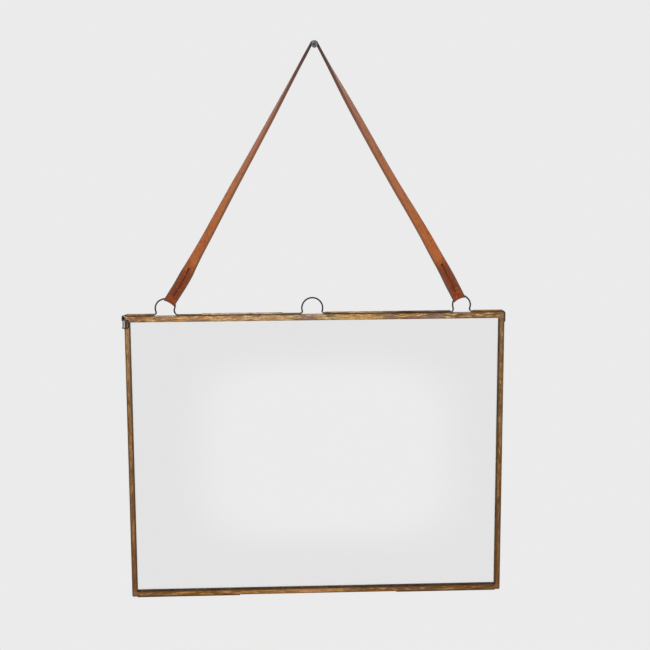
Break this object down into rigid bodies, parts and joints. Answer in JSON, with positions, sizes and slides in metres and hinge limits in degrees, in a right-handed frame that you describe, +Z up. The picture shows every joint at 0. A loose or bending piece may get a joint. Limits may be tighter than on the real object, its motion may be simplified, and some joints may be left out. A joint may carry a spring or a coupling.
{
  "type": "hanging photo frame",
  "caption": "Landscape photo frame of folded brass, two hinged glass leaves with a corner catch, hung by wire loops and a leather strap from a nail.",
  "frame": {"origin": "where the nail enters the wall, straight above the middle of the frame", "axes": "+X to the viewer's right, +Y into the wall, so the frame faces -Y, and +Z up"},
  "size_m": [0.3142, 0.0334, 0.4585],
  "materials": {
    "aged_brass": "satin, patinated, with brown and grey patches",
    "dark_wire": "darkened wire, half gloss",
    "solder": "dull solder stained to match the brass",
    "nail_steel": "grey, smooth",
    "tan_leather": "smooth tan leather with darker burnished edges",
    "strap_thread": "waxed dark brown thread",
    "clear_glass": "clear, polished"
  },
  "bodies": {
    "nail": {"hanging_nail": "nail_steel"},
    "strap": {"strap": "tan_leather", "strap_stitching_left": "strap_thread", "strap_stitching_right": "strap_thread"},
    "back_frame": {"back_top_rail": "aged_brass", "back_bottom_rail": "aged_brass", "back_left_upright": "aged_brass", "back_right_upright": "aged_brass", "back_glass": "clear_glass", "back_solder_top_left": "solder", "back_solder_top_right": "solder", "back_solder_bottom_left": "solder", "back_solder_bottom_right": "solder", "hanging_wire": "dark_wire", "hinge_pin": "dark_wire", "catch_barrel": "aged_brass"},
    "front_frame": {"front_top_rail": "aged_brass", "front_bottom_rail": "aged_brass", "front_left_upright": "aged_brass", "front_right_upright": "aged_brass", "front_glass": "clear_glass", "front_solder_top_left": "solder", "front_solder_top_right": "solder", "front_solder_bottom_left": "solder", "front_solder_bottom_right": "solder"},
    "catch": {"catch_clip": "dark_wire"}
  },
  "joints": [
    {"name": "levelling_swing", "type": "hinge", "parent": "nail", "child": "strap", "pos_m": [0, -0.0065, 0], "axis": [0, 1, 0], "range_deg": [-15, 15]},
    {"name": "strap_fold_swing", "type": "hinge", "parent": "strap", "child": "back_frame", "pos_m": [0, -0.0024, -0.2051], "axis": [1, 0, 0], "range_deg": [-10, 10]},
    {"name": "front_leaf_hinge", "type": "hinge", "parent": "back_frame", "child": "front_frame", "pos_m": [0, -0.00375, -0.45395], "axis": [1, 0, 0], "range_deg": [0, 160]},
    {"name": "catch_turn", "type": "hinge", "parent": "back_frame", "child": "catch", "pos_m": [-0.1565, -0.0017, -0.2181], "axis": [0, 0, -1], "range_deg": [0, 95]}
  ]
}
